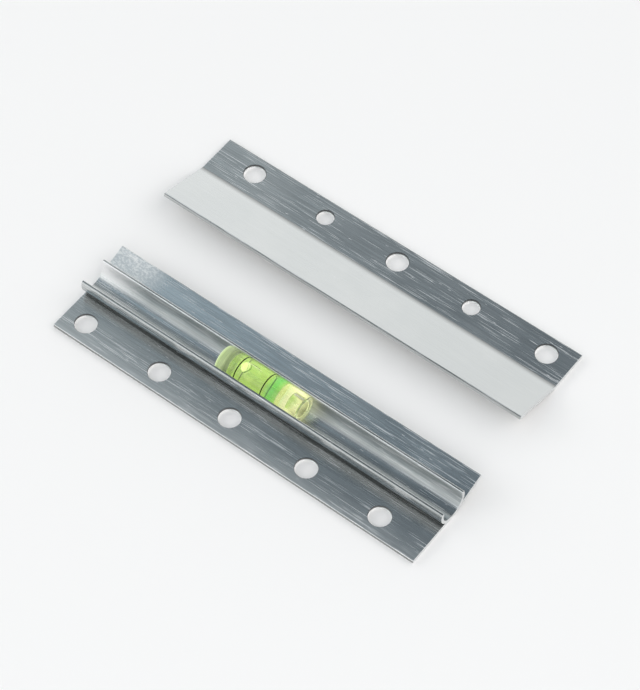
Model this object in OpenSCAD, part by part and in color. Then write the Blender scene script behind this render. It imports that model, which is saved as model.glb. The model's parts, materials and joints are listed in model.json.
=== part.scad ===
// Two-rail French cleat hanger with a level vial.
// Both rails lie side by side on their flat screw flanges, with their hook flanges raised.
// X runs along the rails, Y across them and Z up. The origin is the middle of the
// rectangle that the pair covers, on the surface that it lies on. All sizes are in millimetres.

/* [Rails] */
// Length of both rails
rail_len = 152.4; // [120:0.1:240]
// Thickness of the metal
sheet_t = 1.6; // [1.2:0.1:2.2]
// Angle that a hook flange rises from its screw flange, in degrees
hook_angle = 18; // [12:1:26]
// Inner radius of the bend between the two flanges
bend_r = 2; // [1:0.1:3]
// Radius of the long edges
edge_r = 0.3; // [0.1:0.05:0.5]

/* [Wall rail] */
// Width of the screw flange, from its edge to the bend
wall_screw_w = 21.2; // [20:0.1:28]
// Width of the hook flange, from the bend to its edge
wall_hook_w = 16.3; // [12:0.1:24]

/* [Frame rail] */
// Width of the screw flange, from its edge to the bend
frame_screw_w = 15.4; // [14:0.1:24]
// Width of the hook flange, from the bend to its edge
frame_hook_w = 21.7; // [14:0.1:30]

/* [Screw holes] */
// Diameter of the large screw holes, in both rails
large_hole_d = 8; // [5:0.1:9]
// Diameter of the small screw holes, in the frame rail
small_hole_d = 6.4; // [4:0.1:8]
// Least distance from a hole's centre to the far end of its rail
hole_end_margin = 8; // [6:0.5:12]
// Wall rail: first hole from the end of the rail
wall_hole_first = 8.6; // [7:0.1:16]
// Wall rail: distance between every other hole
wall_hole_pitch = 62.6; // [50:0.1:75]
// Wall rail: distance from the first hole to the second
wall_hole_step = 32.3; // [26:0.1:36]
// Wall rail: row of holes from the edge of the screw flange
wall_hole_edge = 7; // [6:0.1:9]
// Frame rail: first hole from the end of the rail
frame_hole_first = 16.6; // [8:0.1:24]
// Frame rail: distance between neighbouring holes
frame_hole_pitch = 31.45; // [25:0.05:38]
// Frame rail: row of holes from the edge of the screw flange
frame_hole_edge = 6.9; // [6:0.1:8]

/* [Vial channel] */
// Inner diameter of the channel that holds the vial
channel_d = 10.4; // [9:0.1:12]
// Wall of the channel
channel_wall = 1.25; // [1:0.05:1.6]
// Height of the lip tips above the channel's axis
lip_rise = 2.4; // [1.6:0.1:3]
// How far the round lip tips stand proud of the channel's wall, to grip the vial
lip_bead = 0.05; // [0.02:0.01:0.08]

/* [Vial] */
// Gap all round between the vial and its channel
vial_clear = 0.1; // [0.05:0.05:0.3]
// Length of the vial
vial_len = 34; // [30:0.1:45]
// Place of the vial's middle along the rail, from the middle of the rail
vial_shift = -2.2; // [-30:0.1:30]
// Wall of the vial around its chamber
vial_wall = 1.5; // [1:0.1:2]
// Thickness of the vial's closed end
vial_end_wall = 4.4; // [3:0.1:6]
// Length of the plug that closes the other end
plug_len = 8.8; // [7:0.1:10]
// Distance that the plug sits back from the mouth of the vial
plug_inset = 0.3; // [0.1:0.1:0.6]
// Step from the chamber out to the plug's seat
plug_step = 0.6; // [0.3:0.1:0.8]
// Gap between the plug and its seat
plug_clear = 0.02; // [0.01:0.01:0.05]
// Thickness of the plug's closed face
plug_face = 3.8; // [2:0.1:4]
// Wall of the plug round its recess
plug_wall = 1.2; // [0.8:0.1:1.6]

/* [Liquid and rings] */
// Gap between the liquid and the chamber
fluid_clear = 0.02; // [0.01:0.01:0.05]
// Length of the air bubble
bubble_len = 8.6; // [5:0.1:10]
// Diameter of the air bubble
bubble_d = 3.6; // [2:0.1:4.4]
// Film of liquid above the bubble
bubble_film = 0.1; // [0.05:0.05:0.3]
// Place of the bubble's middle along the vial, from the middle between the rings
bubble_shift = -1; // [-2:0.1:1.2]
// Distance between the middles of the two rings
ring_gap = 11.2; // [9:0.1:13]
// Place of the middle between the rings, from the closed end of the vial
ring_mid = 13.6; // [12:0.1:15]
// Width of a ring along the vial
ring_w = 0.4; // [0.2:0.05:0.8]
// Depth of the groove that holds a ring
ring_depth = 0.15; // [0.1:0.05:0.3]
// Gap between a ring and its groove
ring_clear = 0.01; // [0.005:0.005:0.02]

/* [Layout] */
// Clear gap between the two rails as they lie
rail_gap = 24.6; // [5:0.1:60]
// Distance that the frame rail lies back along the wall rail
rail_stagger = 2.1; // [0:0.1:10]

/* [Hidden] */
$fn = 96;
cut = 0.5;

aluminium = [0.56, 0.59, 0.63];
clear_green = [0.78, 0.93, 0.55, 0.35];
pale_yellow = [0.90, 0.95, 0.60, 0.5];
fluid_green = [0.45, 0.85, 0.10, 0.7];
ring_black = [0.03, 0.03, 0.03];

outer_bend_r = bend_r + sheet_t;
channel_r = channel_d / 2;
channel_outer_r = channel_r + channel_wall;
channel_mid_r = channel_r + channel_wall / 2;
channel_z = sheet_t + channel_r;
// The channel stands over the corner that the two outer faces would meet at.
channel_y = outer_bend_r * tan(hook_angle / 2);
tip_r = channel_wall / 2 + lip_bead;
tip_angle = asin((lip_rise - tip_r) / channel_mid_r);

// How far a hook flange of the given width reaches past the start of the bend.
function hook_reach(width) =
    (outer_bend_r - edge_r) * sin(hook_angle) + (width - edge_r) * cos(hook_angle) + edge_r;

pair_len = rail_len + rail_stagger;
pair_width = wall_screw_w + hook_reach(wall_hook_w) + rail_gap + hook_reach(frame_hook_w) + frame_screw_w;
wall_x = -pair_len / 2 + rail_stagger;
frame_x = -pair_len / 2;
wall_bend_y = -pair_width / 2 + wall_screw_w;
frame_bend_y = pair_width / 2 - frame_screw_w;

last_hole = rail_len - hole_end_margin;
wall_holes = concat(
    [for (x = [wall_hole_first : wall_hole_pitch : last_hole]) x],
    [for (x = [wall_hole_first + wall_hole_step : wall_hole_pitch : last_hole]) x]);
frame_large_holes = [for (x = [frame_hole_first : 2 * frame_hole_pitch : last_hole]) x];
frame_small_holes = [for (x = [frame_hole_first + frame_hole_pitch : 2 * frame_hole_pitch : last_hole]) x];

vial_r = channel_r - vial_clear;
vial_x = wall_x + rail_len / 2 + vial_shift - vial_len / 2;
vial_y = wall_bend_y + channel_y;
chamber_r = vial_r - vial_wall;
plug_seat_r = chamber_r + plug_step;
plug_start = vial_len - plug_inset - plug_len;
plug_r = plug_seat_r - plug_clear;
fluid_r = chamber_r - fluid_clear;
fluid_len = plug_start - vial_end_wall - 2 * fluid_clear;
bubble_r = bubble_d / 2;
groove_r = vial_r - ring_depth;
ring_places = [ring_mid - ring_gap / 2, ring_mid + ring_gap / 2];

// The corner to take off a strip that lies left of and above the origin, to round it.
module corner_cut() {
    difference() {
        translate([-edge_r, -cut]) square([edge_r + cut, edge_r + cut]);
        translate([-edge_r, edge_r]) circle(edge_r);
    }
}

// Rounds both corners of a strip's end: the end's lower corner is at the origin.
module end_cuts() {
    corner_cut();
    translate([0, sheet_t]) mirror([0, 1]) corner_cut();
}

// A bent strip in section. The bend starts at the origin, and its centre is straight above that.
module strip_section(screw_w, hook_w) {
    along = [cos(hook_angle), sin(hook_angle)];
    across = [-sin(hook_angle), cos(hook_angle)];
    centre = [0, outer_bend_r];
    hook_end = centre - outer_bend_r * across + hook_w * along;
    outer_corner = [outer_bend_r * tan(hook_angle / 2), 0];
    inner_corner = [bend_r * tan(hook_angle / 2), sheet_t];
    difference() {
        polygon([[-screw_w, 0], outer_corner, hook_end, hook_end + sheet_t * across,
            inner_corner, [-screw_w, sheet_t]]);
        translate([-screw_w, 0]) mirror([1, 0]) end_cuts();
        translate(hook_end) rotate(hook_angle) end_cuts();
        difference() {
            polygon([centre, [0, -cut], outer_corner - 2 * cut * across, centre - (outer_bend_r + cut) * across]);
            translate(centre) circle(outer_bend_r);
        }
    }
    difference() {
        polygon([centre, [0, sheet_t], inner_corner, centre - bend_r * across]);
        translate(centre) circle(bend_r);
    }
}

// The channel's outer shape in section, filled, and open above its lips.
module channel_body_section() {
    far = 2 * channel_outer_r;
    side = far * cos(tip_angle);
    rise = far * sin(tip_angle);
    difference() {
        circle(channel_outer_r);
        polygon([[0, 0], [side, rise], [side, far], [-side, far], [-side, rise]]);
    }
}

// The wall rail's section: the bent strip, the channel on it and the two round lip tips.
module wall_section() {
    difference() {
        union() {
            strip_section(wall_screw_w, wall_hook_w);
            translate([channel_y, channel_z]) channel_body_section();
        }
        translate([channel_y, channel_z]) circle(channel_r);
    }
    for (side = [-1, 1])
        translate([channel_y + side * channel_mid_r * cos(tip_angle), channel_z + channel_mid_r * sin(tip_angle)])
            circle(tip_r);
}

// Draws a section in Y and Z along the whole rail, from X = 0.
module along_rail() {
    rotate([90, 0, 90]) linear_extrude(rail_len) children();
}

// Screw holes through a flat flange, at the given places along the rail.
module screw_holes(places, diameter, y) {
    for (x = places)
        translate([x, y, -cut]) cylinder(d = diameter, h = sheet_t + 2 * cut);
}

module wall_rail() {
    color(aluminium) translate([wall_x, wall_bend_y, 0]) difference() {
        along_rail() wall_section();
        screw_holes(wall_holes, large_hole_d, wall_hole_edge - wall_screw_w);
    }
}

module frame_rail() {
    color(aluminium) translate([frame_x, frame_bend_y, 0]) difference() {
        along_rail() mirror([1, 0]) strip_section(frame_screw_w, frame_hook_w);
        screw_holes(frame_large_holes, large_hole_d, frame_screw_w - frame_hole_edge);
        screw_holes(frame_small_holes, small_hole_d, frame_screw_w - frame_hole_edge);
    }
}

// Puts a shape drawn upwards along Z onto the vial's axis, at a distance from its closed end.
module on_vial(distance) {
    translate([vial_x + distance, vial_y, channel_z]) rotate([0, 90, 0]) children();
}

module vial_barrel() {
    color(clear_green) difference() {
        on_vial(0) cylinder(r = vial_r, h = vial_len);
        on_vial(vial_end_wall) cylinder(r = chamber_r, h = vial_len);
        on_vial(plug_start) cylinder(r = plug_seat_r, h = vial_len);
        for (place = ring_places)
            on_vial(place - ring_w / 2) difference() {
                cylinder(r = vial_r + cut, h = ring_w);
                translate([0, 0, -cut]) cylinder(r = groove_r, h = ring_w + 2 * cut);
            }
    }
}

module vial_plug() {
    color(pale_yellow) difference() {
        on_vial(plug_start) cylinder(r = plug_r, h = plug_len);
        on_vial(plug_start + plug_face) cylinder(r = plug_r - plug_wall, h = plug_len);
    }
}

module vial_fluid() {
    color(fluid_green) difference() {
        on_vial(vial_end_wall + fluid_clear) cylinder(r = fluid_r, h = fluid_len);
        on_vial(ring_mid + bubble_shift - bubble_len / 2)
            translate([-(fluid_r - bubble_film - bubble_r), 0, 0]) bubble();
    }
}

// The air bubble: a round-ended rod.
module bubble() {
    translate([0, 0, bubble_r]) {
        cylinder(r = bubble_r, h = bubble_len - bubble_d);
        sphere(bubble_r);
        translate([0, 0, bubble_len - bubble_d]) sphere(bubble_r);
    }
}

module ring(place) {
    color(ring_black) on_vial(place - ring_w / 2 + ring_clear) difference() {
        cylinder(r = vial_r, h = ring_w - 2 * ring_clear);
        translate([0, 0, -cut]) cylinder(r = groove_r + ring_clear, h = ring_w + 2 * cut);
    }
}

wall_rail();
frame_rail();
vial_barrel();
vial_plug();
vial_fluid();
ring(ring_places[0]);  // ring_left
ring(ring_places[1]);  // ring_right
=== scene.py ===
"""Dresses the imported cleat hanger: two mill-finish aluminium rails, a level vial and a pale studio."""

import json
import math

import bmesh
import bpy
from bpy.props import FloatProperty, FloatVectorProperty, IntProperty, PointerProperty
from bpy.types import Operator, Panel, PropertyGroup
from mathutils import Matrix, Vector


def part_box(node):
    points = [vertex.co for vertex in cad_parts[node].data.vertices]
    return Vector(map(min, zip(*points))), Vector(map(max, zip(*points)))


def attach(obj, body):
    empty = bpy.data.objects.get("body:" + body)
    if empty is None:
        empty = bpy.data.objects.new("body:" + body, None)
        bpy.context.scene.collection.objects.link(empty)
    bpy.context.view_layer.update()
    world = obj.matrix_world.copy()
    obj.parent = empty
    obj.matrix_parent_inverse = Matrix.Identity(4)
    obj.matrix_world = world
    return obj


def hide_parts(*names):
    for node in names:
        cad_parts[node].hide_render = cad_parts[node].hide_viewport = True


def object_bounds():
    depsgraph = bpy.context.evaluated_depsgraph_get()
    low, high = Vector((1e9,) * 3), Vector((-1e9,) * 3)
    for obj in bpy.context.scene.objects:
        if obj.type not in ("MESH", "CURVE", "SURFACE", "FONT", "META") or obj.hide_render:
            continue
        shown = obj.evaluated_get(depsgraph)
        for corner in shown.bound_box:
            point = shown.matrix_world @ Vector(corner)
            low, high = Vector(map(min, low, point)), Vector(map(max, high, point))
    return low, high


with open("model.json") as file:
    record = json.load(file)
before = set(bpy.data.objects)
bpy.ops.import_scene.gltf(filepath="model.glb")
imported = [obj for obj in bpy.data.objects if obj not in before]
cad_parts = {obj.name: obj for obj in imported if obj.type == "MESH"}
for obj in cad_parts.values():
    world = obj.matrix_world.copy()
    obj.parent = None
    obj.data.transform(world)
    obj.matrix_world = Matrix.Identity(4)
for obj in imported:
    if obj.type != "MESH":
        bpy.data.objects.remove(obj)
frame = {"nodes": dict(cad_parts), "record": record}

bl_info = {
    "name": "Cleat hanger looks",
    "version": (1, 0, 0),
    "blender": (4, 5, 0),
    "location": "3D View > Sidebar > Hanger",
    "description": "Builds the aluminium rails, the level vial and the studio around the packed hanger",
    "category": "Object",
}

MM = 0.001
CAD_LOW, CAD_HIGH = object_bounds()
BODY = "root"
MOUNTS = {mount["name"]: mount for mount in frame["record"]["mounts"]}


def box_size(node):
    """Lowest corner and size of a CAD node, in metres."""
    low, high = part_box(node)
    return low, high - low


def mount_place(name):
    """Middle of a mount, in metres."""
    return Vector(MOUNTS[name]["pos_m"])


def mount_size(name, key):
    """A size of a mount, in metres."""
    return MOUNTS[name]["dims"][key] * MM


HOOK_RISE = math.asin(abs(MOUNTS["wall_hook"]["axis"][1]))
SHEET = mount_size("wall_centre_hole", "length_mm")
BARREL_LOW, BARREL_SIZE = box_size("vial_barrel")
BARREL_RADIUS = BARREL_SIZE.z / 2
AXIS_Y = BARREL_LOW.y + BARREL_RADIUS
AXIS_Z = BARREL_LOW.z + BARREL_RADIUS
STOPPER_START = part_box("vial_plug")[0].x - BARREL_LOW.x


# Settings


def length(name, description, default):
    """A length that the panel shows in the scene's unit."""
    return FloatProperty(
        name=name, description=description, default=default, min=0, unit="LENGTH", subtype="DISTANCE"
    )


def place(name, description, default):
    """A place or an offset in metres."""
    return FloatVectorProperty(
        name=name, description=description, default=default, size=3, subtype="TRANSLATION", unit="LENGTH"
    )


def angle(name, description, degrees):
    """An angle, given here in degrees."""
    return FloatProperty(name=name, description=description, default=math.radians(degrees), subtype="ANGLE")


def fraction(name, description, default):
    """A value from nought to one."""
    return FloatProperty(name=name, description=description, default=default, min=0, max=1, subtype="FACTOR")


def brightness(name, description, default):
    """How bright a part of the studio is: 1 renders a white floor white."""
    return FloatProperty(name=name, description=description, default=default, min=0)


def colour(name, description, default):
    """A scene-linear colour without alpha."""
    return FloatVectorProperty(
        name=name, description=description, default=default, min=0, max=1, size=3, subtype="COLOR"
    )


class RailSettings(PropertyGroup):
    """Sizes and finish of the two aluminium rails."""

    wall_screw_width: length("Wall screw flange", "From its long edge to the bend", 21.2 * MM)
    frame_screw_width: length("Frame screw flange", "From its long edge to the bend", 15.4 * MM)
    bend_radius: length("Bend radius", "Inner radius of the bend between the flanges", 2.0 * MM)
    edge_radius: length("Edge radius", "Rounding of the extruded long edges", 0.3 * MM)
    channel_gap: length("Channel gap", "Play between the vial and its channel", 0.1 * MM)
    channel_wall: length("Channel wall", "Thickness of the two lips", 1.25 * MM)
    lip_rise: length("Lip rise", "Height of the lip tips above the channel's axis", 2.4 * MM)
    break_width: length("Broken edges", "Width of the deburred edge at cuts and holes", 0.18 * MM)
    metal: colour("Metal", "Colour of the bare aluminium", (0.62, 0.645, 0.642))
    streak: fraction("Streaks", "Brightness of the dark drawing lines against the metal", 0.82)
    hairline: colour("Hairlines", "Colour of the bright drawing lines", (0.80, 0.81, 0.82))
    scratch: colour("Scratches", "Colour of the short scratches", (0.85, 0.86, 0.87))
    scratch_share: fraction("Scratch share", "Share of the places that have a scratch", 0.05)
    saw_cut: colour("Saw cut", "Colour of the cut ends", (0.76, 0.77, 0.77))
    # This colour is the haze that handling leaves, and also the painted highlight along the front edge.
    haze: colour("Haze", "Colour of the film that handling leaves", (0.95, 0.95, 0.93))
    smudge_haze: fraction("Smudges", "Strength of the soft smudges all over", 0.10)
    smudge_size: length("Smudge size", "Size of a soft smudge", 22 * MM)
    # The handled edge is a painted highlight: a lighter strip along the front edge.
    edge_haze: fraction("Handled edge", "Strength of the haze along the front edge", 0.25)
    edge_haze_width: length("Handled edge width", "Width of the haze along the front edge", 9 * MM)
    patch_place: place("Worn patch", "From the wall rail's hook mount", (-72 * MM, 4.5 * MM, 1 * MM))
    patch_size: length("Worn patch size", "Radius of the worn patch", 24 * MM)
    roughness: fraction("Roughness", "Roughness of clean metal", 0.22)
    line_depth: length("Line depth", "Depth of the drawing lines", 0.03 * MM)


class VialSettings(PropertyGroup):
    """Sizes and colours of the level vial."""

    wall: length("Wall", "Thickness round the chamber", 1.5 * MM)
    end_wall: length("End wall", "Thickness of the closed end", 4.4 * MM)
    ridge_depth: length("End ridges", "Depth of the turned ridges on the closed end", 0.16 * MM)
    corner: length("Corners", "Rounding of the vial's ends", 0.3 * MM)
    overlap: length("Optical contact", "Overlap that joins liquid, stopper and barrel", 0.02 * MM)
    seat_step: length("Seat step", "Step from the chamber out to the stopper's seat", 0.6 * MM)
    stopper_face: length("Stopper face", "Thickness of the stopper's closed face", 3.8 * MM)
    stopper_wall: length("Stopper wall", "Wall round the stopper's recess", 1.2 * MM)
    bubble_length: length("Bubble length", "Length of the air bubble", 8.2 * MM)
    bubble_width: length("Bubble width", "Width of the air bubble, seen from above", 4.8 * MM)
    bubble_depth: length("Bubble depth", "Depth of the air bubble below the chamber wall", 2.8 * MM)
    bubble_film: length("Bubble film", "Film of liquid over the bubble", 0.08 * MM)
    bubble_start: length("Bubble start", "From the closed end of the vial to the bubble", 8.1 * MM)
    liquid: colour("Liquid", "Tint of the level liquid", (0.84, 0.98, 0.42))
    # Painted shade: a greener band of tint before the stopper, where ring 2 and its far half darken the
    # liquid.
    deep_liquid: colour("Deep liquid", "Tint of the liquid next to the stopper", (0.32, 0.95, 0.34))
    stopper: colour("Stopper", "Tint of the stopper", (0.96, 0.975, 0.84))
    barrel: colour("Barrel", "Tint of the barrel", (0.98, 0.99, 0.95))
    end_tint: colour("End tint", "Tint of the closed end", (0.88, 0.94, 0.62))
    end_lines: colour("End lines", "Tint of the turned lines in the closed end", (0.50, 0.56, 0.36))
    # The bubble's dark arc is painted: it stands for the ring's far half seen through the bubble.
    bubble_shadow: colour("Bubble shadow", "Tint of the dark arc across the bubble", (0.10, 0.20, 0.04))
    # Each glow is painted light, emission in a part that is no lamp. The body and plug glows stand in for
    # light passing through the liquid and stopper, besides their fluorescence.
    body_glow: colour("Body glow", "Fluorescence all through the liquid", (0.020, 0.035, 0.010))
    plug_glow: colour("Plug glow", "Fluorescence of the stopper's inner half", (0.050, 0.045, 0.020))
    under_glow: colour("Under glow", "Light from under the liquid", (0.128, 0.152, 0.074))
    stopper_glow: colour("Stopper glow", "Light from under the stopper", (0.235, 0.235, 0.150))
    end_glow: colour("End glow", "Light from under the closed end", (0.050, 0.062, 0.028))
    rim_glow: colour("Rim glow", "Light in the closed end's rim", (0.30, 0.33, 0.26))
    glint_glow: colour("Glint", "Light at the bubble's near end", (0.62, 0.56, 0.40))
    segments: IntProperty(name="Segments", description="Segments of a turned piece", default=128, min=24)


class StageSettings(PropertyGroup):
    """Floor, light and camera."""

    floor: colour("Floor", "Colour of the floor", (0.95, 0.94, 0.93))
    floor_radius: length("Floor radius", "Radius of the round floor", 6.0)
    back_wall: brightness("Back wall", "Brightness of the studio behind", 1.22)
    front_wall: brightness("Front wall", "Brightness of the studio in front", 1.22)
    right_wall: brightness("Right wall", "Brightness of the studio at the right", 1.10)
    ceiling: colour("Ceiling", "Brightness of the studio overhead", (0.135, 0.168, 0.198))
    skylight: colour("Skylight", "Brightness of the studio overhead at the left", (0.60, 0.67, 0.70))
    window: colour("Window", "Brightness of the small window overhead", (0.64, 0.80, 0.92))
    lens: FloatProperty(name="Lens", description="Focal length in millimetres", default=149.39, min=1)
    azimuth: angle("Azimuth", "Turn of the camera", 37.507)
    elevation: angle("Elevation", "Height of the camera", 55.92)
    distance: length("Distance", "From the camera to the target", 973.4 * MM)
    target: place("Target", "Place that the camera looks at", (1.46 * MM, -0.23 * MM, 0.0))


# Node building

SHADER_TREE = "ShaderNodeTree"
GEOMETRY_TREE = "GeometryNodeTree"
VALUE = "NodeSocketFloat"
VECTOR = "NodeSocketVector"
BLACK = (0.0, 0.0, 0.0, 1.0)
WHITE = (1.0, 1.0, 1.0, 1.0)


def built_once(store):
    """Lets a function build the group or material of its own name once, and find it after that."""

    def wrap(build):
        def find():
            return getattr(bpy.data, store).get(build.__name__) or build(build.__name__)

        return find

    return wrap


def set_inputs(tree, node, inputs):
    """Sets or links the inputs of a node, by name or number."""
    for socket, value in inputs.items():
        if isinstance(value, bpy.types.NodeSocket):
            tree.links.new(value, node.inputs[socket])
        else:
            node.inputs[socket].default_value = value


def add_node(tree, kind, inputs=None, **settings):
    """Adds a node, sets its properties, and sets or links its inputs."""
    node = tree.nodes.new(kind)
    for name, value in settings.items():
        setattr(node, name, value)
    set_inputs(tree, node, inputs or {})
    return node


def math_node(tree, operation, *values):
    """The result of a Math node on the given values or sockets."""
    return add_node(tree, "ShaderNodeMath", dict(enumerate(values)), operation=operation).outputs[0]


def vector_node(tree, operation, *values):
    """The result of a Vector Math node: a value for a length or a dot product, else a vector."""
    node = add_node(tree, "ShaderNodeVectorMath", dict(enumerate(values)), operation=operation)
    return node.outputs["Value" if operation in ("LENGTH", "DOT_PRODUCT") else "Vector"]


def axis_of(tree, vector, axis):
    """One component of a vector."""
    return add_node(tree, "ShaderNodeSeparateXYZ", {0: vector}).outputs[axis]


def new_group(name, kind, inputs, outputs):
    """A node group whose inputs are (label, type) or (label, type, default), and whose outputs are
    (label, type): (tree, sockets that it is given, sockets that it puts out)."""
    tree = bpy.data.node_groups.new(name, kind)
    for label, socket_type, *default in inputs:
        socket = tree.interface.new_socket(label, in_out="INPUT", socket_type=socket_type)
        if default:
            socket.default_value = default[0]
    for label, socket_type in outputs:
        tree.interface.new_socket(label, in_out="OUTPUT", socket_type=socket_type)
    return tree, tree.nodes.new("NodeGroupInput").outputs, tree.nodes.new("NodeGroupOutput").inputs


def use_group(tree, group, inputs):
    """Places a shader group in a material with its own values, and returns what it puts out."""
    return add_node(tree, "ShaderNodeGroup", inputs, node_tree=group).outputs


def ramp(tree, value, low, high):
    """A value taken from low..high to nought..one, eased at both ends."""
    inputs = {"Value": value, "From Min": low, "From Max": high}
    return add_node(tree, "ShaderNodeMapRange", inputs, interpolation_type="SMOOTHSTEP").outputs["Result"]


def mix_colour(tree, factor, first, second, blend="MIX"):
    """Two colours mixed. The numbers are the colour sockets of a Mix node."""
    inputs = {0: factor, 6: first, 7: second}
    return add_node(tree, "ShaderNodeMix", inputs, data_type="RGBA", blend_type=blend).outputs[2]


def rgba(values):
    """A colour with full alpha."""
    return (*values, 1.0)


def grey(value):
    """A grey with full alpha."""
    return rgba([value] * 3)


def stretched(tree, coordinates, scale, turn=0.0):
    """Coordinates scaled along each axis and turned a little about Z."""
    inputs = {"Vector": coordinates, "Scale": scale, "Rotation": (0.0, 0.0, turn)}
    return add_node(tree, "ShaderNodeMapping", inputs).outputs["Vector"]


def noise(tree, coordinates, scale, detail):
    """Noise with this many cells a metre along each axis."""
    inputs = {"Vector": stretched(tree, coordinates, scale), "Scale": 1.0, "Detail": detail}
    return add_node(tree, "ShaderNodeTexNoise", inputs).outputs["Fac"]


def bump(tree, height, depth, strength=1.0):
    """A normal from a height, with the depth in metres that a height of one has."""
    inputs = {"Strength": strength, "Distance": depth, "Height": height}
    return add_node(tree, "ShaderNodeBump", inputs).outputs["Normal"]


# Shared surface effects


@built_once("node_groups")
def extrusion_lines(name):
    """Fine lines that the die leaves along a rail: a height, a tone and a mask of bright hairlines."""
    puts_out = [("Height", VALUE), ("Tone", VALUE), ("Hairlines", VALUE)]
    group, given, out = new_group(name, SHADER_TREE, [("Vector", VECTOR)], puts_out)
    scales = ((20, 320, 320), (40, 2400, 2400), (80, 3400, 3400))
    broad, medium, narrow = [noise(group, given["Vector"], scale, 1.0) for scale in scales]
    fine = math_node(group, "MULTIPLY_ADD", narrow, 0.5, medium)
    clusters = ramp(group, broad, 0.38, 0.62)
    bright = math_node(group, "MULTIPLY_ADD", clusters, 0.10, narrow)
    group.links.new(fine, out["Height"])
    group.links.new(ramp(group, fine, 0.60, 0.90), out["Tone"])
    group.links.new(ramp(group, bright, 0.67, 0.75), out["Hairlines"])
    return group


@built_once("node_groups")
def short_scratches(name):
    """Sparse short scratches, mostly along the rail: a mask."""
    takes = [("Vector", VECTOR), ("Share", VALUE, 0.1)]
    group, given, out = new_group(name, SHADER_TREE, takes, [("Mask", VALUE)])
    least = math_node(group, "SUBTRACT", 1.0, given["Share"])
    masks = []
    for scale, turn in (((110, 1900, 1900), 0.03), ((260, 2600, 2600), -0.06)):
        inputs = {"Vector": stretched(group, given["Vector"], scale, turn), "Scale": 1.0}
        cells = add_node(group, "ShaderNodeTexVoronoi", inputs).outputs
        random_value = add_node(group, "ShaderNodeSeparateColor", {0: cells["Color"]}).outputs[0]
        picked = math_node(group, "GREATER_THAN", random_value, least)
        near = ramp(group, cells["Distance"], 0.26, 0.12)
        masks.append(math_node(group, "MULTIPLY", near, picked))
    group.links.new(math_node(group, "MAXIMUM", *masks), out["Mask"])
    return group


@built_once("node_groups")
def smudges(name):
    """Soft patches of haze from handling: a mask."""
    takes = [("Vector", VECTOR), ("Size", VALUE, 0.02)]
    group, given, out = new_group(name, SHADER_TREE, takes, [("Mask", VALUE)])
    scale = math_node(group, "DIVIDE", 1.0, given["Size"])
    inputs = {"Vector": given["Vector"], "Scale": scale, "Detail": 3.0}
    patches = add_node(group, "ShaderNodeTexNoise", inputs).outputs["Fac"]
    group.links.new(ramp(group, patches, 0.42, 0.72), out["Mask"])
    return group


@built_once("node_groups")
def worn_patch(name):
    """A speckled patch that handling leaves round one place, longer than it is wide: a mask."""
    takes = [("Vector", VECTOR), ("Centre", VECTOR), ("Radius", VALUE, 0.02)]
    group, given, out = new_group(name, SHADER_TREE, takes, [("Mask", VALUE)])
    offset = vector_node(group, "SUBTRACT", given["Vector"], given["Centre"])
    squeezed = vector_node(group, "MULTIPLY", offset, (1.0, 1.7, 1.0))
    apart = math_node(group, "DIVIDE", vector_node(group, "LENGTH", squeezed), given["Radius"])
    near = ramp(group, apart, 1.0, 0.4)
    specks = ramp(group, noise(group, given["Vector"], (1100, 2000, 2000), 3.0), 0.49, 0.57)
    cover = math_node(group, "MULTIPLY_ADD", specks, 0.45, 0.55)
    group.links.new(math_node(group, "MULTIPLY", near, cover), out["Mask"])
    return group


@built_once("node_groups")
def cut_end(name):
    """Where a face is a saw cut across the rail, and the saw's lines: a mask and a height."""
    takes = [("Vector", VECTOR), ("Normal", VECTOR)]
    group, given, out = new_group(name, SHADER_TREE, takes, [("Mask", VALUE), ("Height", VALUE)])
    along = math_node(group, "ABSOLUTE", axis_of(group, given["Normal"], "X"))
    group.links.new(ramp(group, along, 0.6, 0.8), out["Mask"])
    group.links.new(noise(group, given["Vector"], (1, 3000, 500), 2.0), out["Height"])
    return group


@built_once("node_groups")
def moulded_end(name):
    """The frosted closed end of the vial, along X: a mask, its outer rim and the turned lines."""
    takes = [("Vector", VECTOR), ("Start", VALUE, 0.0), ("Thickness", VALUE, 0.004)]
    puts_out = [("Mask", VALUE), ("Rim", VALUE), ("Lines", VALUE)]
    group, given, out = new_group(name, SHADER_TREE, takes, puts_out)
    depth = math_node(group, "SUBTRACT", axis_of(group, given["Vector"], "X"), given["Start"])
    mask = ramp(group, math_node(group, "DIVIDE", depth, given["Thickness"]), 1.15, 0.85)
    lines = ramp(group, noise(group, given["Vector"], (1900, 90, 90), 2.0), 0.40, 0.60)
    group.links.new(mask, out["Mask"])
    group.links.new(ramp(group, depth, 0.55 * MM, 0.25 * MM), out["Rim"])
    group.links.new(math_node(group, "MULTIPLY", lines, mask), out["Lines"])
    return group


# Materials

# The liquid's bubble attribute is nought on its outside. On the bubble it is one of these, and it
# rises from the first to one at the bubble's near end as a painted glint; the second marks a painted dark
# arc.
BUBBLE_MARK = 0.5
RING_ARC_MARK = 0.3
MARK_PLAY = 0.1

# The rails' darkest marks of painted shade are those above this. Low down they get less of it, as
# painted light from the floor.
DARKEST_FROM = 0.9
FLOOR_LIGHT = 2.25
FLOOR_LIGHT_TOP = SHEET - 0.75 * MM
FLOOR_LIGHT_FULL = SHEET - 0.95 * MM

# The painted shade along the frame rail's bend, and how far it reaches to each side.
BEND_PAINTED_SHADE = 0.95
BEND_BEFORE = 2.6 * MM
BEND_BEHIND = 0.3 * MM

# How much a painted shade of one darkens the metal, and the share of lines and scratches that the
# smoothest face has.
PAINTED_SHADE_LOSS = 0.58
SMOOTH_SHARE = 0.12


def new_material(name):
    """An empty node material, its tree and the object's own coordinates."""
    material = bpy.data.materials.new(name)
    material.use_nodes = True
    material.node_tree.nodes.clear()
    return material, material.node_tree, add_node(material.node_tree, "ShaderNodeTexCoord").outputs["Object"]


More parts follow.
